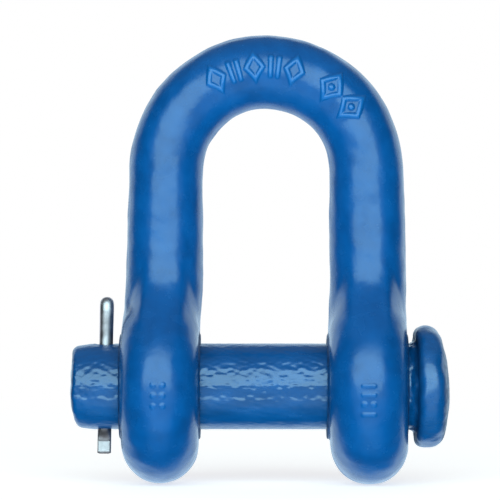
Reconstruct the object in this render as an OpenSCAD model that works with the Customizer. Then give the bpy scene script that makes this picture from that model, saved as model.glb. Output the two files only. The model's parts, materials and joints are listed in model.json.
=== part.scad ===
// Dee shackle of the round-pin chain pattern, forged from 9.5 mm (3/8 in) round bar.
// Origin: on the pin's axis, midway between the two ears.
// +X runs along the pin to its head, +Z along the line of load to the crown,
// and +Y through the thickness. All sizes are in millimetres.

/* [Bow] */
// Diameter of the round bar at the crown
bar_d = 9.5; // [9:0.1:10]
// Clear width between the two legs, at the crown
crown_w = 17; // [16:0.1:18]
// Clear length from the pin to the inside of the crown
inside_l = 31.3; // [28:0.1:36]
// Growth of the leg's diameter from the crown down to the neck
leg_growth = 0.4; // [0.2:0.1:0.5]
// Radius of the forged fillet between each leg and its ear
neck_fillet = 4; // [3:0.5:5]

/* [Ears] */
// Clear width between the ears' inner facings
jaw_w = 16.7; // [16.5:0.1:17.5]
// Outside diameter of each ear
ear_d = 25.4; // [24.5:0.1:27]
// Thickness of each ear, without its facings
ear_t = 10.2; // [10.2:0.1:10.6]
// Diameter of the flat facing round each pin hole
facing_d = 13.9; // [13.4:0.1:15]
// Height of each facing above the ear
facing_h = 0.25; // [0.15:0.05:0.4]
// Diameter of the pin holes
bore_d = 12; // [11.7:0.1:12.4]

/* [Load pin] */
// Diameter of the pin's shank
pin_d = 11.2; // [11:0.1:11.4]
// Gap between the head's underside and the ear
head_gap = 1.25; // [1:0.05:1.6]
// Diameter of the head
head_d = 15.8; // [15:0.1:17]
// Height of the head at its middle
head_h = 4.2; // [3.8:0.1:4.6]
// Radius of the head's domed face
dome_r = 23.5; // [20:0.5:30]
// Length of shank that stands out of the ear at the plain end
tail_l = 6.5; // [6:0.1:8]
// Diameter of the drilled hole for the split pin
cross_hole_d = 2.2; // [2.1:0.1:2.4]
// Distance from the ear to the middle of the cross hole
cross_hole_offset = 1.9; // [1.8:0.1:2.2]

/* [Split pin] */
// Diameter across both legs of the split pin
split_d = 1.8; // [1.6:0.1:1.9]
// Height of the eye's top above the load pin
eye_rise = 6.25; // [5.5:0.05:7]
// Outside diameter of the eye
eye_d = 3.6; // [3.4:0.1:3.8]
// How far the short leg stands out below the load pin
short_leg = 1.5; // [1:0.1:3]
// How far the long leg stands out below the load pin
long_leg = 3.2; // [2.5:0.1:5]

/* [Hidden] */
$fn = 96;
eps = 0.01;

ear_x = jaw_w / 2 + facing_h + ear_t / 2;
ear_face_x = ear_x + ear_t / 2 + facing_h;
rim_r = ear_t / 2;
ring_r = ear_d / 2 - rim_r;

bar_r = bar_d / 2;
crown_r = crown_w / 2 + bar_r;
crown_z = pin_d / 2 + inside_l + bar_r - crown_r;
splay = asin((ear_x - crown_r) / crown_z);
neck_leg_r = bar_r + leg_growth / 2;
// The neck's fillet is an arc that touches the leg and the ear's rim in side view
fillet_y = neck_leg_r + neck_fillet;
fillet_z = sqrt(pow(ear_d / 2 + neck_fillet, 2) - pow(fillet_y, 2));
rim_touch_z = fillet_z * (ear_d / 2) / (ear_d / 2 + neck_fillet);
leg_end_z = 8;
// Each leg starts a little way inside the end of the crown, and a hair slimmer than it
leg_lap = 0.8;
leg_inset = 0.03;
leg_l = (crown_z - leg_end_z) / cos(splay) + crown_r * tan(splay);
neck_low_z = rim_touch_z - 2.5;
neck_rings = 8;
neck_sides = 24;
neck_inset = 0.08;

tail_x = -ear_face_x - tail_l;
cross_hole_x = -ear_face_x - cross_hole_offset;
head_x = ear_face_x + head_gap;
tail_taper_l = 3.6;
tail_taper = 0.5;
tail_edge = 0.55;
head_edge_r = 1.4;
head_back_r = 1;
head_neck_r = pin_d / 2 + 0.45;
head_neck_l = 0.55;

split_r = split_d / 2;
leg_slit = 0.08;
eye_z = pin_d / 2 + eye_rise - eye_d / 2;

// Distance of a leg's axis from the middle, at a height z
function leg_x(z) = ear_x + (crown_r - ear_x) * z / crown_z;

// Half-thickness of the neck along Y at a height z
function neck_y(z) = z >= fillet_z ? neck_leg_r - neck_inset
    : z >= rim_touch_z ? fillet_y - sqrt(pow(neck_fillet, 2) - pow(z - fillet_z, 2)) - neck_inset
    : sqrt(pow(ear_d / 2, 2) - z * z) - neck_inset;

// One elliptical ring of the neck's skin
function neck_ring(z) = [for (i = [0 : neck_sides - 1])
    let (turn = 360 * i / neck_sides)
    [leg_x(z) + (neck_leg_r - neck_inset) * cos(turn), neck_y(z) * sin(turn), z]];

module neck() {
    heights = [for (k = [0 : neck_rings]) neck_low_z + (fillet_z + 0.5 - neck_low_z) * k / neck_rings];
    points = [for (z = heights) each neck_ring(z)];
    sides = [for (k = [0 : neck_rings - 1], i = [0 : neck_sides - 1])
        let (a = k * neck_sides + i, b = k * neck_sides + (i + 1) % neck_sides)
        [a, a + neck_sides, b + neck_sides, b]];
    bottom = [for (i = [0 : neck_sides - 1]) i];
    top = [for (i = [neck_sides - 1 : -1 : 0]) neck_rings * neck_sides + i];
    polyhedron(points = points, faces = concat([bottom], sides, [top]), convexity = 4);
}

module crown() {
    translate([0, 0, crown_z])
        rotate([90, 0, 0])
            rotate([0, 0, splay])
                rotate_extrude(angle = 180 - 2 * splay)
                    translate([crown_r, 0])
                        circle(r = bar_r);
}

module leg() {
    translate([crown_r * cos(splay), 0, crown_z + crown_r * sin(splay)])
        rotate([0, 180 - splay, 0])
            translate([0, 0, -leg_lap])
                cylinder(h = leg_l + leg_lap, r1 = bar_r - leg_inset, r2 = neck_leg_r);
}

module ear() {
    translate([ear_x, 0, 0])
        rotate([0, 90, 0])
            union() {
                rotate_extrude()
                    union() {
                        translate([ring_r, 0])
                            circle(r = rim_r);
                        translate([0, -rim_r])
                            square([ring_r, ear_t]);
                    }
                cylinder(h = ear_t + 2 * facing_h, d = facing_d, center = true);
            }
}

module bow() {
    color("royalblue")
        difference() {
            union() {
                crown();
                for (turn = [0, 180])
                    rotate([0, 0, turn]) {
                        leg();
                        neck();
                        ear();
                    }
            }
            rotate([0, 90, 0])
                cylinder(h = 2 * ear_face_x + 2, d = bore_d, center = true);
        }
}

module pin_head() {
    dome_x = head_x + head_h - dome_r;
    edge_r = head_d / 2 - head_edge_r;
    edge_x = dome_x + sqrt(pow(dome_r - head_edge_r, 2) - pow(edge_r, 2));
    back_r = head_d / 2 - head_back_r;
    rotate_extrude()
        union() {
            intersection() {
                translate([0, dome_x])
                    circle(r = dome_r, $fn = 360);
                translate([0, head_x + eps])
                    square([edge_r * dome_r / (dome_r - head_edge_r), head_h]);
            }
            translate([edge_r, edge_x])
                circle(r = head_edge_r);
            translate([back_r, head_x + head_back_r])
                circle(r = head_back_r);
            translate([0, head_x])
                square([back_r, head_back_r]);
            translate([0, head_x + head_back_r])
                square([head_d / 2, edge_x - head_x - head_back_r]);
        }
}

module pin_shank() {
    shank_r = pin_d / 2;
    end_r = shank_r - tail_taper;
    rotate_extrude()
        polygon([
            [0, tail_x],
            [end_r - tail_edge, tail_x],
            [end_r, tail_x + tail_edge],
            [shank_r, tail_x + tail_taper_l],
            [shank_r, head_x - head_neck_l],
            [head_neck_r, head_x],
            [head_neck_r, head_x + 1],
            [0, head_x + 1]
        ]);
}

module pin() {
    color("mediumblue")
        difference() {
            rotate([0, 90, 0])
                union() {
                    pin_shank();
                    pin_head();
                }
            translate([cross_hole_x, 0, 0])
                cylinder(h = pin_d + 2, d = cross_hole_d, center = true);
        }
}

// One half-round leg of the split pin, its flat side towards the other leg
module split_leg(tip_z) {
    leg_top = eye_z - eye_d / 2 + split_r / 2;
    translate([0, 0, tip_z])
        linear_extrude(height = leg_top - tip_z)
            difference() {
                circle(r = split_r);
                translate([-split_d, -leg_slit / 2])
                    square([2 * split_d, split_d]);
            }
}

module split_eye() {
    rotate([0, 90, 0])
        rotate_extrude()
            intersection() {
                translate([eye_d / 2 - split_r, 0])
                    circle(r = split_r);
                translate([eye_d / 2 - split_r, -split_d])
                    square([split_d, 2 * split_d]);
            }
}

module cotter_pin() {
    color("silver")
        translate([cross_hole_x, 0, 0]) {
            translate([0, 0, eye_z])
                split_eye();
            split_leg(-pin_d / 2 - short_leg);
            mirror([0, 1, 0])
                split_leg(-pin_d / 2 - long_leg);
        }
}

bow();
pin();
cotter_pin();
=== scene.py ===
"""The looks of a forged dee shackle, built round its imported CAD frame.

Shapes are worked out in millimetres in the frame's own axes: X along the load pin, Z towards the
crown, and -Y towards the viewer. They become metres when a mesh is written.
"""

import json
import math

import bmesh
import bpy
import numpy as np
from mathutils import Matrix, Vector


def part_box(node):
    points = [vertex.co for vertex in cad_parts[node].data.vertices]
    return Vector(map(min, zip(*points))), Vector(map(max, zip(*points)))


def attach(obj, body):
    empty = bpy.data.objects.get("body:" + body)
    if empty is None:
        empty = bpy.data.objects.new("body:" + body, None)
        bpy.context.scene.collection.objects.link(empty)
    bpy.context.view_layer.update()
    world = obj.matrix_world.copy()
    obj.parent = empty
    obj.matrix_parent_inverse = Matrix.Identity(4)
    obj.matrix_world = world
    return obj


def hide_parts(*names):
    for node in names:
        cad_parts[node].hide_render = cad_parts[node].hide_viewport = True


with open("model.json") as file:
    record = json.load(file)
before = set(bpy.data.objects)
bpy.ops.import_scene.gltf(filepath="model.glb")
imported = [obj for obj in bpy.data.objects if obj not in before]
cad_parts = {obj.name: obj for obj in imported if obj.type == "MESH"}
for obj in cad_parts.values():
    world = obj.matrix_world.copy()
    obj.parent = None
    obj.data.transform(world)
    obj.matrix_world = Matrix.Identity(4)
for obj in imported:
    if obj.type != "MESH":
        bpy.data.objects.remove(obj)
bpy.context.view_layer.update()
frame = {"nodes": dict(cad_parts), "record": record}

MM = 0.001


# ---------------------------------------------------------------- sizes


def box_mm(node):
    """Lowest and highest corner of a CAD node, in millimetres."""
    return [np.array(corner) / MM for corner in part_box(node)]


BOW_LOW, BOW_HIGH = box_mm("bow")
PIN_LOW, PIN_HIGH = box_mm("pin")
SPLIT_LOW, SPLIT_HIGH = box_mm("cotter_pin")
PIN_SPAN = {m["name"]: m["dims"] for m in frame["record"]["mounts"]}["pin_span"]

# Bow: a bar bent round the crown, whose legs thicken a little and end inside the ears
BAR_R = 4.75
BAR_SKIN = 0.03
CROWN_R = 13.25
LEG_GROWTH = 0.2
GROWTH_FROM, GROWTH_TO = -6, 14
LEG_END_Z = 4.0
BORE_R = 6.0
FACING_R = 6.95
FACING_H = 0.25
FACING_EDGE = 0.16
CROWN_Z = BOW_HIGH[2] - BAR_R - CROWN_R
EAR_R = -BOW_LOW[2]
EAR_X = (BOW_HIGH[0] + PIN_SPAN["length_mm"] / 2) / 2
RIM_R = BOW_HIGH[0] - EAR_X - FACING_H
RING_R = EAR_R - RIM_R
SPLAY = math.asin((EAR_X - CROWN_R) / CROWN_Z)
LEG_L = CROWN_Z - LEG_END_Z
NECK_BLEND = 5.2
SIDE_BLEND = 0.5

# How the forging strays from that: it leans to one side, and its right ear is larger and flared
BOW_LEAN = 0.37
LEAN_FROM, LEAN_TO = 4, 16
EAR_EXTRA = 0.18
EAR_SPREAD = 0.45

# The forging's trimmed parting line and raised marks: heights, widths and places
FLASH_H = 0.09
FLASH_W = 0.55
CROWN_MARK_H, EAR_MARK_H = 0.2, 0.11
MARK_SLOPE = 0.2
MARK_PITCH, MARK_STROKE = 2.55, 0.27
MARK_SHIFT, MARK_RISE = 0.4, 0.5
PIP_R = 0.34

# Load pin: its shank, its domed head, which is a little skewed, and its sheared tail
PIN_R = PIN_SPAN["r_mm"]
PIN_SKIN = 0.08
HEAD_R = PIN_HIGH[2]
HEAD_SKIN = 0.16
HEAD_H = 4.2
HEAD_X = PIN_HIGH[0] - HEAD_H
HEAD_BACK = 0.3
HEAD_SKEW = 0.05
HEAD_BACK_EDGE, HEAD_FACE_EDGE = 1.3, 1.5
DOME_R = 23.5
DOME_DROP = 0.75
HEAD_NECK = 0.45
HEAD_NECK_L = 1.1
TAIL_X = PIN_LOW[0]
TAIL_TAPER = 0.5
TAIL_TAPER_L = 3.6
TAIL_EDGE = 0.6
TAIL_CREST_Z = -0.8
CROSS_X = (SPLIT_LOW[0] + SPLIT_HIGH[0]) / 2
CROSS_R = 1.1

# The rolled bar's seam along the load pin's front, with a shallow groove under it
SEAM_Z = 0.33
SEAM_H, SEAM_W = 0.035, 0.14
GROOVE_H, GROOVE_W = 0.17, 0.6
GROOVE_DROP = 1.25

# Unevenness of the surfaces, as layers of waves: height, wavelength and seed
BOW_WAVES = ((0.045, 7.5, 1), (0.018, 2.6, 2))
HEAD_WAVES = ((0.05, 3.2, 15), (0.015, 1.6, 17))
LUMP_WAVES = ((0.1, 1.5, 16),)
TAIL_WAVES = ((0.05, 2.4, 14),)
# The shank's are drawn out along X, by shrinking X before they are worked out: the third value
SHANK_WAVES = ((0.018, 1.7, 0.3, 11), (0.034, 0.85, 0.6, 12), (0.021, 0.55, 0.78, 13))
SHANK_CALM = 0.3

# Split pin: a half-round wire folded into an eye and two legs, the short one bevelled at its tip
WIRE_R = (SPLIT_HIGH[0] - SPLIT_LOW[0]) / 2
EYE_R = SPLIT_HIGH[1]
EYE_Z = SPLIT_HIGH[2] - EYE_R
SHORT_TIP_Z = -PIN_R - 1.5
LONG_TIP_Z = SPLIT_LOW[2]
SLIT = 0.05
EYE_FRONT = 0.36
EYE_TO_LEGS = 2.9
EYE_TURN_IN = math.radians(-9)
SPLIT_LEAN = math.radians(1.1)
BEVEL, BEVEL_L = 0.75, 1.9
END_SIZE, END_PUSH = 0.72, 0.12


# ---------------------------------------------------------------- fields
# A field gives each point's signed distance from a skin, negative inside.


def smooth_min(a, b, blend):
    """The lower of two fields, with the corner between them filled over a width."""
    near = np.maximum(blend - np.abs(a - b), 0) / blend
    return np.minimum(a, b) - near * near * blend / 4


def smooth_max(a, b, blend):
    """The higher of two fields, with the corner between them rounded off."""
    return -smooth_min(-a, -b, blend)


def step(value, low, high):
    """0 below low, 1 above high, and a smooth rise between."""
    t = np.clip((value - low) / (high - low), 0, 1)
    return t * t * (3 - 2 * t)


def ripple(points, wavelength, seed, count=14):
    """A smooth irregular field of about -1 to 1, with the given wavelength."""
    random = np.random.default_rng(seed)
    total = np.zeros(len(points))
    for _ in range(count):
        way = random.normal(size=3)
        way *= random.uniform(0.7, 1.3) * 2 * math.pi / wavelength / np.linalg.norm(way)
        total += np.sin(points @ way + random.uniform(0, 2 * math.pi))
    return total * math.sqrt(2 / count) / 1.6


def waves(points, layers):
    """Ripples of several heights and wavelengths together, in millimetres."""
    return sum(height * ripple(points, length, seed) for height, length, seed in layers)


def upright(points):
    """Points with the forging's slight lean to one side taken out."""
    lean = BOW_LEAN * step(points[:, 2], LEAN_FROM, LEAN_TO)
    return points - lean[:, None] * (1, 0, 0)


def bar_path(points):
    """Where points lie against the bent bar: across its axis, along it, and its radius there."""
    x, z = np.abs(points[:, 0]), points[:, 2] - CROWN_Z
    along = x * math.sin(SPLAY) - z * math.cos(SPLAY)
    leg_across = x * math.cos(SPLAY) + z * math.sin(SPLAY) - CROWN_R
    ring_across = np.hypot(x, z) - CROWN_R
    across = np.where(along > 0, leg_across, ring_across)
    radius = BAR_R + BAR_SKIN + LEG_GROWTH * step(along, GROWTH_FROM, GROWTH_TO)
    return across, along, radius


def ear_place(points):
    """Distance from the pin's axis, and from the ear's middle plane."""
    return np.hypot(points[:, 1], points[:, 2]), np.abs(points[:, 0]) - EAR_X


def facing_field(reach, offset):
    """The flat round facings on an ear, one solid disc with rounded edges."""
    a = reach - FACING_R + FACING_EDGE
    b = np.abs(offset) - RIM_R - FACING_H + FACING_EDGE
    outside = np.hypot(np.maximum(a, 0), np.maximum(b, 0))
    return outside + np.minimum(np.maximum(a, b), 0) - FACING_EDGE


def lozenge(s, t, half_s, half_t):
    """A diamond's signed distance, near enough at its edges."""
    share = np.abs(s) / half_s + np.abs(t) / half_t - 1
    return share * half_s * half_t / math.hypot(half_s, half_t)


def bar_mark(s, t, half_s, half_t):
    """A round-ended bar's signed distance: its longer side is t."""
    return np.hypot(s, np.maximum(np.abs(t) - half_t + half_s, 0)) - half_s


def crown_marks(s, t):
    """Signed distance of the crown's marks: a row of lozenges and bars, then two pipped lozenges."""
    t = t - MARK_RISE
    found = []
    for cell in (-3, -1, 1):
        middle = (cell + MARK_SHIFT) * MARK_PITCH
        found.append(np.abs(lozenge(s - middle, t, 1.05, 1.6)) - MARK_STROKE)
    for cell in (-2, 0):
        middle = (cell + MARK_SHIFT) * MARK_PITCH
        for side in (-0.5, 0.5):
            found.append(bar_mark(s - middle - side, t, MARK_STROKE, 1.5))
    for middle in (8.7, 12.2):
        found.append(np.abs(lozenge(s - middle, t - 0.2, 1.35, 1.85)) - MARK_STROKE)
        found.append(np.hypot(s - middle, t - 0.2) - 0.36)
    return np.minimum.reduce(found)


def ear_marks(points):
    """Signed distance of the ears' marks: pips on the left one, bars and pips on the right one."""
    on_left, on_right, z = points[:, 0] + EAR_X, points[:, 0] - EAR_X + 0.15, points[:, 2]
    found = []
    for dx in (-0.6, 0.6):
        for dz in (0.7, -0.7, -2.1):
            found.append(np.hypot(on_left - dx, z - dz) - PIP_R)
        found.append(np.hypot(on_right - dx, z + 1.9) - PIP_R)
    for dz in (0.6, -0.6, -3.2):
        found.append(bar_mark(z - dz, on_right, 0.24, 0.95))
    return np.minimum.reduce(found)


def raised(distance):
    """1 on a mark of this signed distance, 0 off it, and a smooth slope between."""
    return 1 - step(distance, -MARK_SLOPE, MARK_SLOPE)


def crown_place(points):
    """Distance round the crown from its top, and across the bar's axis."""
    across, _, _ = bar_path(points)
    return np.arctan2(points[:, 0], points[:, 2] - CROWN_Z) * CROWN_R, across


def relief(points):
    """How fully the crown's marks and the ears' marks are raised at upright points, from 0 to 1."""
    y, z = points[:, 1], points[:, 2]
    on_crown = step(-y, 0.3 * BAR_R, 0.6 * BAR_R) * step(z, CROWN_Z - 2, CROWN_Z + 1)
    on_ear = step(-y, 0.6 * EAR_R, 0.8 * EAR_R)
    crown = on_crown * raised(crown_marks(*crown_place(points)))
    return crown, on_ear * raised(ear_marks(points))


def bow_field(points):
    """The forged bow, with its fillets, facings, bores, raised marks and trimmed parting line."""
    points = upright(points)
    y, z = points[:, 1], points[:, 2]
    across, along, radius = bar_path(points)
    overrun = np.maximum(along - LEG_L, 0)
    bar = np.sqrt(across ** 2 + y ** 2 + overrun ** 2) - radius
    reach, offset = ear_place(points)
    right = step(points[:, 0], -3, 3)
    ring_r = RING_R + EAR_EXTRA * right
    spread_out = offset - EAR_SPREAD * right * step(-z, 2, EAR_R)
    ear = np.where(reach > ring_r, np.hypot(reach - ring_r, spread_out), np.abs(spread_out)) - RIM_R
    middle = 1 - step(np.abs(across) / radius, 0.45, 1.0)
    body = smooth_min(bar, ear, SIDE_BLEND + (NECK_BLEND - SIDE_BLEND) * middle)
    away = step(reach, FACING_R + 0.6, FACING_R + 3)
    body = body + away * waves(points, BOW_WAVES)
    flash = FLASH_H * np.exp(-(y / FLASH_W) ** 2) * (1 + 0.6 * ripple(points, 5, 3))
    body = body - away * flash
    crown_relief, ear_relief = relief(points)
    body = body - CROWN_MARK_H * crown_relief - EAR_MARK_H * ear_relief
    body = smooth_min(body, facing_field(reach, offset), 0.12)
    return smooth_max(body, BORE_R - reach, 0.35)


def pin_field(points):
    """The load pin: a sheared tail, a rough shank, a domed head and the drilled cross hole."""
    x, y, z = points.T
    reach = np.hypot(y, z)
    band = SHANK_CALM + (1 - SHANK_CALM) * step(z, -2.3, -1.5) * (1 - step(z, 3, 4))
    rough = 0
    for height, length, shrink, seed in SHANK_WAVES:
        rough = rough + height * ripple(points * (shrink, 1, 1), length, seed)
    rough = band * rough
    radius = PIN_R + PIN_SKIN - TAIL_TAPER * (1 - step(x, TAIL_X - 1, TAIL_X + TAIL_TAPER_L))
    radius = radius + HEAD_NECK * step(x, HEAD_X - HEAD_NECK_L, HEAD_X)
    seam_z = SEAM_Z + 0.05 * np.sin(x * 0.9) + 0.03 * np.sin(x * 2.3)
    seam = SEAM_H * np.exp(-((z - seam_z) / SEAM_W) ** 2)
    seam = seam - GROOVE_H * np.exp(-((z - seam_z + GROOVE_DROP) / GROOVE_W) ** 2)
    lumps = step(x, HEAD_X - 1.3, HEAD_X - 0.8) * waves(points, LUMP_WAVES)
    side = reach - radius + rough + lumps - np.where(y < 0, seam, 0)
    rise = z - TAIL_CREST_Z
    tail = TAIL_X + np.where(rise > 0, 0.013, 0.045) * rise ** 2 + 0.015 * y ** 2 - x
    tail = tail + waves(points, TAIL_WAVES)
    shank = smooth_max(side, tail, TAIL_EDGE)
    shank = np.maximum(shank, x - HEAD_X - 1)
    dome_x = PIN_HIGH[0] - DOME_R
    skewed = x + HEAD_SKEW * y
    dome = np.sqrt((skewed - dome_x) ** 2 + y ** 2 + (z + DOME_DROP) ** 2) - DOME_R
    rim = smooth_max(reach - HEAD_R - HEAD_SKIN, HEAD_X - HEAD_BACK - skewed, HEAD_BACK_EDGE)
    head = smooth_max(rim, dome, HEAD_FACE_EDGE) + waves(points, HEAD_WAVES)
    whole = smooth_min(shank, head, 0.35)
    hole = CROSS_R - np.hypot(x - CROSS_X, y)
    return smooth_max(whole, hole, 0.3)


# ---------------------------------------------------------------- meshes


def link(name, mesh):
    """A new object with a mesh, in the scene."""
    obj = bpy.data.objects.new(name, mesh)
    bpy.context.scene.collection.objects.link(obj)
    return obj


def even_quads(node, voxel):
    """A fresh mesh of even quads over a CAD node's shape."""
    obj = link("seed", frame["nodes"][node].data.copy())
    remesh = obj.modifiers.new("even", "REMESH")
    remesh.mode = "VOXEL"
    remesh.voxel_size = voxel * MM
    graph = bpy.context.evaluated_depsgraph_get()
    mesh = bpy.data.meshes.new_from_object(obj.evaluated_get(graph))
    bpy.data.objects.remove(obj)
    mesh.materials.clear()
    return mesh


def read_points(mesh):
    """A mesh's vertices, in millimetres."""
    flat = np.empty(len(mesh.vertices) * 3, np.float32)
    mesh.vertices.foreach_get("co", flat)
    return flat.reshape(-1, 3).astype(float) / MM


def write_points(mesh, points):
    """Puts a mesh's vertices where points says, in millimetres."""
    mesh.vertices.foreach_set("co", (points * MM).astype(np.float32).ravel())
    mesh.update()


def probe(points, field, reach=0.02):
    """A field's value and slope at points, from four samples round each."""
    value, slope = 0, 0
    for corner in ((1, -1, -1), (-1, -1, 1), (-1, 1, -1), (1, 1, 1)):
        way = np.array(corner, float)
        sample = field(points + reach * way)
        value = value + sample / 4
        slope = slope + sample[:, None] * way / (4 * reach)
    return value, slope


def onto(points, field, rounds=4, furthest=0.4):
    """Points moved along a field's slope until they lie on its skin, and the skin's normals."""
    for _ in range(rounds):
        value, slope = probe(points, field)
        move = value[:, None] * slope / np.maximum((slope ** 2).sum(1), 0.2)[:, None]
        length = np.linalg.norm(move, axis=1)[:, None]
        points = points - move * np.minimum(1, furthest / np.maximum(length, 1e-9))
    return points, slope / np.linalg.norm(slope, axis=1)[:, None]


def relax(mesh, field, rounds=3):
    """Settles a mesh on a field's skin, and evens out its vertices along the skin."""
    ends = np.empty(len(mesh.edges) * 2, np.int32)
    mesh.edges.foreach_get("vertices", ends)
    a, b = ends.reshape(-1, 2).T
    count = np.bincount(ends, minlength=len(mesh.vertices))[:, None]
    points, normals = onto(read_points(mesh), field)
    for _ in range(rounds):
        total = np.zeros_like(points)
        for axis in range(3):
            total[:, axis] += np.bincount(a, points[b, axis], len(points))
            total[:, axis] += np.bincount(b, points[a, axis], len(points))
        pull = total / count - points
        pull = pull - (pull * normals).sum(1)[:, None] * normals
        points, normals = onto(points + 0.5 * pull, field, rounds=2)
    write_points(mesh, points)


def split_faces(mesh, wanted):
    """Splits in four each face that lies wholly where wanted(points) is true."""
    inside = wanted(read_points(mesh))
    body = bmesh.new()
    body.from_mesh(mesh)
    body.verts.ensure_lookup_table()
    edges = [e for e in body.edges if inside[e.verts[0].index] and inside[e.verts[1].index]]
    bmesh.ops.subdivide_edges(body, edges=edges, cuts=1, use_grid_fill=True)
    body.to_mesh(mesh)
    body.free()


def skin(name, node, field, voxel, finer):
    """A piece over a CAD node's place, with its mesh on a field's skin and finer in some regions."""
    mesh = even_quads(node, voxel)
    relax(mesh, field)
    for wanted in finer:
        split_faces(mesh, wanted)
        relax(mesh, field, rounds=1)
    mesh.shade_smooth()
    return link(name, mesh)


def note(mesh, name, values):
    """Stores a value for each vertex of a mesh, for its material to read."""
    stored = mesh.attributes.new(name, "FLOAT", "POINT")
    stored.data.foreach_set("value", values.astype(np.float32))


def near_edges(points):
    """Round the rims of the bores and of the facings."""
    reach, offset = ear_place(points)
    side = np.abs(np.abs(offset) - RIM_R - FACING_H / 2) < 0.45
    return side & ((np.abs(reach - FACING_R) < 0.5) | (np.abs(reach - BORE_R) < 0.4))


def near_marks(points, margin=0.45):
    """Round the raised marks on the crown and the ears."""
    points = upright(points)
    on_crown = (points[:, 1] < -0.3 * BAR_R) & (points[:, 2] > CROWN_Z)
    on_ear = points[:, 1] < -0.7 * EAR_R
    near_crown_mark = crown_marks(*crown_place(points)) < margin
    return (on_crown & near_crown_mark) | (on_ear & (ear_marks(points) < margin))


def make_bow():
    """The bow's mesh, with notes of a painted highlight on its raised marks and of painted shade, with
    dulling, on its facings.
    """
    finer = [lambda p: near_edges(p) | near_marks(p), near_marks]
    piece = skin("bow_forging", "bow", bow_field, 0.32, finer)
    points = read_points(piece.data)
    crown_relief, ear_relief = relief(upright(points))
    # Painted highlight: the raised marks are made paler, standing in for the light their rounded tops
    # catch.
    note(piece.data, "painted_highlight_and_tone", crown_relief + 0.4 * ear_relief)
    reach, offset = ear_place(points)
    proud = step(np.abs(offset), RIM_R - 0.05, RIM_R + 0.1)
    # Painted shade: the facings round the bores are darkened, standing in for the shadow in the gap
    # between ear and pin; the same note also makes them duller.
    note(piece.data, "painted_shade_and_dulling", proud * (1 - step(reach, FACING_R + 0.1, FACING_R + 0.6)))
    return piece


def near_seam(points):
    """Along the seam on the load pin's front, and round the mouths of its cross hole."""
    x, y, z = points.T
    seam = (y < 0) & (np.abs(z - SEAM_Z) < 0.5) & (x < HEAD_X)
    hole = np.abs(np.hypot(x - CROSS_X, y) - CROSS_R) < 0.35
    return seam | (hole & (np.abs(z) > PIN_R - 0.9))


def make_pin():
    """The load pin's mesh, with notes of painted shade and dulling at its head's edges and its tail's
    rim, and of a shifted tone and dulling over its head.
    """
    piece = skin("load_pin", "pin", pin_field, 0.19, [near_seam])
    points = read_points(piece.data)
    x, reach = points[:, 0], np.hypot(points[:, 1], points[:, 2])
    skewed = x + HEAD_SKEW * points[:, 1]
    past_back = step(skewed, HEAD_X + 0.1, HEAD_X + 0.6)
    head_back = step(x, HEAD_X - 0.6, HEAD_X - 0.4) * (1 - past_back)
    head_face = step(skewed, HEAD_X + 2.6, HEAD_X + 3.1)
    tail_edge = (1 - step(x, TAIL_X + 0.3, TAIL_X + 0.8)) * step(reach, PIN_R - 2, PIN_R - 0.6)
    on_head = step(x, HEAD_X - 0.2, HEAD_X + 0.4)
    # Painted shade: the head's back and face edges and the tail's rim are darkened, standing in for
    # the shade on these edges, and made duller.
    shaded_edges = np.maximum(np.maximum(0.5 * head_back, 0.72 * head_face), 0.6 * tail_edge)
    # Over the whole head the enamel is also a little duller and darker in patches, and the next line
    # makes it paler.
    note(piece.data, "painted_shade_and_dulling", np.maximum(shaded_edges, 0.27 * on_head))
    note(piece.data, "painted_highlight_and_tone", 0.3 * on_head)
    return piece


def split_path():
    """The split pin's inner line in the YZ plane, from the short leg's tip round to the long one's."""
    inner = EYE_R - WIRE_R
    gap_z = EYE_Z - inner - EYE_TO_LEGS
    joint = np.array([inner * math.cos(EYE_TURN_IN), EYE_Z + inner * math.sin(EYE_TURN_IN)])
    way = np.array([-math.sin(EYE_TURN_IN), math.cos(EYE_TURN_IN)])
    start = np.array([SLIT, gap_z])
    hooks = [start, start + (0, 1.1), joint - way * 1.1, joint]
    bend = []
    for t in np.linspace(0, 1, 16):
        weights = ((1 - t) ** 3, 3 * t * (1 - t) ** 2, 3 * t * t * (1 - t), t ** 3)
        bend.append(sum(w * h for w, h in zip(weights, hooks)))
    arc = [np.array([inner * math.cos(a), EYE_Z + inner * math.sin(a)])
           for a in np.linspace(EYE_TURN_IN, math.pi / 2, 26)[1:]]
    half = bend + arc

    def leg(tip_z):
        return [np.array([SLIT, z]) for z in np.linspace(tip_z, gap_z, 60)[:-1]]

    front = [p * (-EYE_FRONT, 1) - (SLIT * (1 - EYE_FRONT), 0) for p in leg(SHORT_TIP_Z) + half]
    back = leg(LONG_TIP_Z) + half[:-1]
    return np.array(front + back[::-1])


def half_round(corner=0.1, steps=18):
    """Outline of the half-round wire: across its width, and out from its flat."""
    points = []
    for a in np.linspace(0, math.pi, steps):
        points.append((WIRE_R * math.cos(a), corner + (WIRE_R - corner) * math.sin(a)))
    for share in np.linspace(-1, 1, 8):
        points.append(((WIRE_R - corner) * share, 0))
    return points


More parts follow.
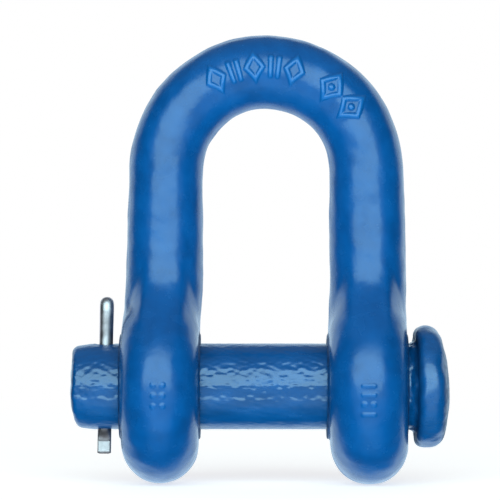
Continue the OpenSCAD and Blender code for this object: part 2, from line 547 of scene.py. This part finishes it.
def make_split_pin():
    """One half-round wire, folded into an eye and two legs of unequal length."""
    path = split_path()
    ways = np.gradient(path, axis=0)
    ways /= np.linalg.norm(ways, axis=1)[:, None]
    outline = half_round()
    body = bmesh.new()
    rings = []

    def add_ring(place, way, size, push):
        out = np.array([-way[1], way[0]])
        past_tip = step(place[1], SHORT_TIP_Z, SHORT_TIP_Z + BEVEL_L)
        depth = 1 - BEVEL * (1 - past_tip) * (place[0] < 0)
        centre = place + out * WIRE_R * 0.45 * depth
        ring = []
        for w, n in outline:
            yz = centre + (place + out * n * depth - centre) * size + way * push
            x = CROSS_X + w * size + math.tan(SPLIT_LEAN) * yz[1]
            ring.append(body.verts.new((x * MM, yz[0] * MM, yz[1] * MM)))
        rings.append(ring)

    add_ring(path[0], ways[0], END_SIZE, -END_PUSH)
    for place, way in zip(path, ways):
        add_ring(place, way, 1, 0)
    add_ring(path[-1], ways[-1], END_SIZE, END_PUSH)
    count = len(outline)
    for low, high in zip(rings, rings[1:]):
        for i in range(count):
            body.faces.new((low[i], low[(i + 1) % count], high[(i + 1) % count], high[i]))
    body.faces.new(list(reversed(rings[0])))
    body.faces.new(rings[-1])
    bmesh.ops.recalc_face_normals(body, faces=body.faces)
    mesh = bpy.data.meshes.new("split_pin")
    body.to_mesh(mesh)
    body.free()
    mesh.shade_smooth()
    mesh.set_sharp_from_angle(angle=math.radians(50))
    return link("split_pin", mesh)


# ---------------------------------------------------------------- materials


def add(tree, kind, values=None, **settings):
    """A new shader node with its socket values and settings."""
    made = tree.nodes.new(kind)
    for key, value in settings.items():
        setattr(made, key, value)
    for key, value in (values or {}).items():
        made.inputs[key].default_value = value
    return made


def new_material(name):
    """A material with a Principled shader, and that shader."""
    material = bpy.data.materials.new(name)
    material.use_nodes = True
    return material, material.node_tree, material.node_tree.nodes["Principled BSDF"]


def grain_noise(tree, size, stretch=(1, 1, 1), detail=2.0, rough=0.5):
    """Noise whose features are about size millimetres, drawn out along an axis by stretch."""
    place = add(tree, "ShaderNodeTexCoord")
    scale = [1 / (size * MM * s) for s in stretch]
    mapping = add(tree, "ShaderNodeMapping", {"Scale": scale})
    noise = add(tree, "ShaderNodeTexNoise", {"Scale": 1.0, "Detail": detail, "Roughness": rough})
    tree.links.new(place.outputs["Object"], mapping.inputs["Vector"])
    tree.links.new(mapping.outputs["Vector"], noise.inputs["Vector"])
    return noise.outputs["Fac"]


def ramp(tree, value, stops):
    """A colour ramp over a value: stops are (place, colour)."""
    node = add(tree, "ShaderNodeValToRGB")
    node.color_ramp.elements[0].position, node.color_ramp.elements[0].color = stops[0]
    node.color_ramp.elements[1].position, node.color_ramp.elements[1].color = stops[-1]
    for place, colour in stops[1:-1]:
        node.color_ramp.elements.new(place).color = colour
    tree.links.new(value, node.inputs["Fac"])
    return node.outputs["Color"]


def smooth_range(tree, value, low, high, to_low, to_high):
    """A smooth step from one value to another as a socket's value goes from low to high."""
    limits = {"From Min": low, "From Max": high, "To Min": to_low, "To Max": to_high}
    node = add(tree, "ShaderNodeMapRange", limits, interpolation_type="SMOOTHSTEP")
    tree.links.new(value, node.inputs["Value"])
    return node.outputs["Result"]


def combine(tree, operation, a, b):
    """Two socket values put together by a maths operation."""
    node = add(tree, "ShaderNodeMath", operation=operation)
    tree.links.new(a, node.inputs[0])
    tree.links.new(b, node.inputs[1])
    return node.outputs["Value"]


def spread(tree, value, low, high):
    """A noise value's usual span mapped to a range of values."""
    limits = {"From Min": 0.3, "From Max": 0.7, "To Min": low, "To Max": high}
    node = add(tree, "ShaderNodeMapRange", limits)
    tree.links.new(value, node.inputs["Value"])
    return node.outputs["Result"]


def bumps(tree, shader, layers):
    """A chain of bumps under a shader: layers are (height value, depth in millimetres)."""
    last = None
    for height, depth in layers:
        node = add(tree, "ShaderNodeBump", {"Distance": depth * MM, "Strength": 1.0})
        tree.links.new(height, node.inputs["Height"])
        if last is not None:
            tree.links.new(last, node.inputs["Normal"])
        last = node.outputs["Normal"]
    tree.links.new(last, shader.inputs["Normal"])


# Paler colour mixed in on raised marks as a painted highlight, and over the pin's head as a paler
# tone.
HIGHLIGHT_AND_TONE_COLOUR = (0.005, 0.108, 0.32, 1)
# Dark colour mixed in at edges and facings as painted shade, and in patches over the pin's head.
DARK_SHADE_COLOUR = (0.002, 0.014, 0.05, 1)


def toward(tree, colour, other, share):
    """A socket's colour mixed towards a fixed one by a share."""
    node = add(tree, "ShaderNodeMix", {7: other}, data_type="RGBA")
    tree.links.new(share, node.inputs[0])
    tree.links.new(colour, node.inputs[6])
    return node.outputs[2]


def enamel(name, deep, mid, light, gloss, stretch, peel, ior):
    """Thick gloss enamel: slightly uneven in colour and gloss, with an orange-peel skin.

    It is paler where a mesh's note of painted highlight and tone is high, and darker and duller where
    its note of painted shade and dulling is.
    gloss is the lowest and highest roughness, and peel the depths of the wide and fine bumps.
    """
    material, tree, shader = new_material(name)
    mottle = grain_noise(tree, 3.2, stretch, detail=3.0, rough=0.6)
    colour = ramp(tree, mottle, [(0.3, deep), (0.5, mid), (0.72, light)])
    gloss_noise = grain_noise(tree, 1.7, stretch, detail=3.0)
    patchy = spread(tree, grain_noise(tree, 0.8, detail=3.0), 0.45, 1.0)
    highlight_tone_share = add(tree, "ShaderNodeAttribute", attribute_name="painted_highlight_and_tone").outputs["Fac"]
    painted_shade_and_dulling = add(tree, "ShaderNodeAttribute", attribute_name="painted_shade_and_dulling").outputs["Fac"]
    painted_shade_and_dulling = combine(tree, "MULTIPLY", painted_shade_and_dulling, patchy)
    # Paler on raised marks, a painted highlight; darker at edges and facings, a painted shade.
    colour = toward(tree, colour, HIGHLIGHT_AND_TONE_COLOUR, highlight_tone_share)
    colour = toward(tree, colour, DARK_SHADE_COLOUR, painted_shade_and_dulling)
    tree.links.new(colour, shader.inputs["Base Color"])
    dull = smooth_range(tree, painted_shade_and_dulling, 0, 1, 0, 0.4)
    roughness = combine(tree, "ADD", spread(tree, gloss_noise, *gloss), dull)
    tree.links.new(roughness, shader.inputs["Roughness"])
    wide = grain_noise(tree, 1.3, stretch, detail=1.0)
    fine = grain_noise(tree, 0.4, stretch, detail=2.0)
    bumps(tree, shader, [(wide, peel[0]), (fine, peel[1])])
    shader.inputs["IOR"].default_value = ior
    return material


def bright_steel(name):
    """Bright drawn wire: fine lines along it, with small dull patches."""
    material, tree, shader = new_material(name)
    patches = grain_noise(tree, 1.1, detail=3.0)
    colour = ramp(tree, patches, [(0.3, (0.44, 0.35, 0.34, 1)), (0.6, (0.68, 0.55, 0.54, 1))])
    tree.links.new(colour, shader.inputs["Base Color"])
    tree.links.new(spread(tree, patches, 0.36, 0.5), shader.inputs["Roughness"])
    lines = grain_noise(tree, 0.12, (1, 1, 30), detail=2.0)
    bumps(tree, shader, [(lines, 0.008)])
    shader.inputs["Metallic"].default_value = 1.0
    return material


# ---------------------------------------------------------------- stage, light and camera

WHITE = (1, 1, 1, 1)
KEY_COLOUR = (0.52, 0.9, 1.0)
ROOM_COLOUR = (0.7, 0.93, 1.1)
# The floor is a warm shade, to come out neutral under the cool key light
FLOOR_COLOUR = (0.92, 0.68, 0.6, 1)
FLOOR_GLOW = 0.63
# The larger right ear reaches a little below the CAD's lowest point
FLOOR_Z = BOW_LOW[2] - 0.27
FLOOR_R = 3000.0
FADE_NEAR, FADE_FAR = 60.0, 260.0
# The camera's place, and the width that it takes in where the object stands
VIEW_X, VIEW_Z = -1.79, 18.07
VIEW_DISTANCE, VIEW_WIDTH = 450.0, 66.25


def make_floor():
    """A round pale floor, left out of reflections, that fades into the surroundings."""
    body = bmesh.new()
    bmesh.ops.create_circle(body, cap_ends=True, segments=96, radius=FLOOR_R * MM)
    bmesh.ops.translate(body, verts=body.verts, vec=(0, 0, FLOOR_Z * MM))
    mesh = bpy.data.meshes.new("floor")
    body.to_mesh(mesh)
    body.free()
    floor = link("floor", mesh)
    floor.visible_glossy = False
    floor.visible_diffuse = False
    floor.visible_shadow = False
    material, tree, shader = new_material("floor_paper")
    shader.inputs["Base Color"].default_value = FLOOR_COLOUR
    shader.inputs["Roughness"].default_value = 0.8
    shader.inputs["Specular IOR Level"].default_value = 0.0
    shader.inputs["Emission Color"].default_value = WHITE
    shader.inputs["Emission Strength"].default_value = FLOOR_GLOW
    far = add(tree, "ShaderNodeEmission", {"Color": WHITE})
    mix = add(tree, "ShaderNodeMixShader")
    place = add(tree, "ShaderNodeTexCoord")
    length = add(tree, "ShaderNodeVectorMath", operation="LENGTH")
    tree.links.new(place.outputs["Object"], length.inputs[0])
    fade = smooth_range(tree, length.outputs["Value"], FADE_NEAR * MM, FADE_FAR * MM, 0.0, 1.0)
    tree.links.new(fade, mix.inputs["Fac"])
    tree.links.new(shader.outputs["BSDF"], mix.inputs[1])
    tree.links.new(far.outputs["Emission"], mix.inputs[2])
    tree.links.new(mix.outputs["Shader"], tree.nodes["Material Output"].inputs["Surface"])
    mesh.materials.append(material)


def make_world():
    """A pale room, bright behind the object, dim above and in front, and dark at the sides.

    Seen directly by the camera it is even and white.
    """
    world = bpy.data.worlds.new("studio")
    bpy.context.scene.world = world
    world.use_nodes = True
    tree = world.node_tree
    room = tree.nodes["Background"]
    room.inputs["Color"].default_value = (*ROOM_COLOUR, 1)
    seen = add(tree, "ShaderNodeBackground", {"Color": WHITE, "Strength": 1.0})
    place = add(tree, "ShaderNodeTexCoord")
    split = add(tree, "ShaderNodeSeparateXYZ")
    tree.links.new(place.outputs["Generated"], split.inputs["Vector"])
    behind = smooth_range(tree, split.outputs["Y"], 0.38, 0.6, 0.0, 1.3)
    not_above = smooth_range(tree, split.outputs["Z"], 0.45, 0.75, 1.0, 0.0)
    above = smooth_range(tree, split.outputs["Z"], 0.6, 0.85, 0.02, 0.25)
    front = smooth_range(tree, split.outputs["Y"], -0.75, -0.5, 0.5, 0.0)
    level = combine(tree, "ADD", combine(tree, "MULTIPLY", behind, not_above), above)
    level = combine(tree, "ADD", level, front)
    tree.links.new(level, room.inputs["Strength"])
    path = add(tree, "ShaderNodeLightPath")
    mix = add(tree, "ShaderNodeMixShader")
    tree.links.new(path.outputs["Is Camera Ray"], mix.inputs["Fac"])
    tree.links.new(room.outputs["Background"], mix.inputs[1])
    tree.links.new(seen.outputs["Background"], mix.inputs[2])
    tree.links.new(mix.outputs["Shader"], tree.nodes["World Output"].inputs["Surface"])


def softbox(name, place, size, power, reflected=True):
    """A rectangular soft light in millimetres, aimed at the origin and unseen by the camera."""
    light = bpy.data.lights.new(name, "AREA")
    light.shape = "RECTANGLE"
    light.size, light.size_y = size[0] * MM, size[1] * MM
    light.energy = power
    light.color = KEY_COLOUR
    obj = bpy.data.objects.new(name, light)
    bpy.context.scene.collection.objects.link(obj)
    obj.location = Vector(place) * MM
    obj.rotation_mode = "QUATERNION"
    obj.rotation_quaternion = (-Vector(place)).to_track_quat("-Z", "Y")
    obj.visible_camera = False
    obj.visible_glossy = reflected


def make_camera():
    """A level camera square on to the object's front."""
    camera = bpy.data.cameras.new("camera")
    camera.sensor_width = 36.0
    camera.lens = camera.sensor_width * VIEW_DISTANCE / VIEW_WIDTH
    camera.clip_start, camera.clip_end = 0.05, 20.0
    obj = bpy.data.objects.new("camera", camera)
    bpy.context.scene.collection.objects.link(obj)
    obj.location = (VIEW_X * MM, -VIEW_DISTANCE * MM, VIEW_Z * MM)
    obj.rotation_euler = (math.radians(90), 0, 0)
    bpy.context.scene.camera = obj


make_camera()
make_world()
make_floor()
softbox("key", place=(-30, -710, 275), size=(1330, 690), power=10.4)
softbox("fill", place=(0, -320, -420), size=(500, 500), power=3.6, reflected=False)
bpy.context.scene.view_settings.view_transform = "Standard"

bow_enamel = enamel(
    "bow_enamel",
    deep=(0.001, 0.058, 0.192, 1), mid=(0.001, 0.070, 0.228, 1), light=(0.002, 0.081, 0.255, 1),
    gloss=(0.2, 0.3), stretch=(1, 1, 1), peel=(0.034, 0.01), ior=1.5)
pin_enamel = enamel(
    "pin_enamel",
    deep=(0.0, 0.047, 0.15, 1), mid=(0.0, 0.06, 0.192, 1), light=(0.001, 0.074, 0.228, 1),
    gloss=(0.18, 0.3), stretch=(2.5, 1, 1), peel=(0.05, 0.02), ior=1.65)
split_steel = bright_steel("split_steel")

for piece, body, node, slot, material in (
    (make_bow(), "bow_body", "bow", "bow_paint", bow_enamel),
    (make_pin(), "pin_body", "pin", "pin_paint", pin_enamel),
    (make_split_pin(), "cotter_body", "cotter_pin", "split_pin_steel", split_steel),
):
    piece.data.materials.append(material)
    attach(piece, body)
    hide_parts(node)
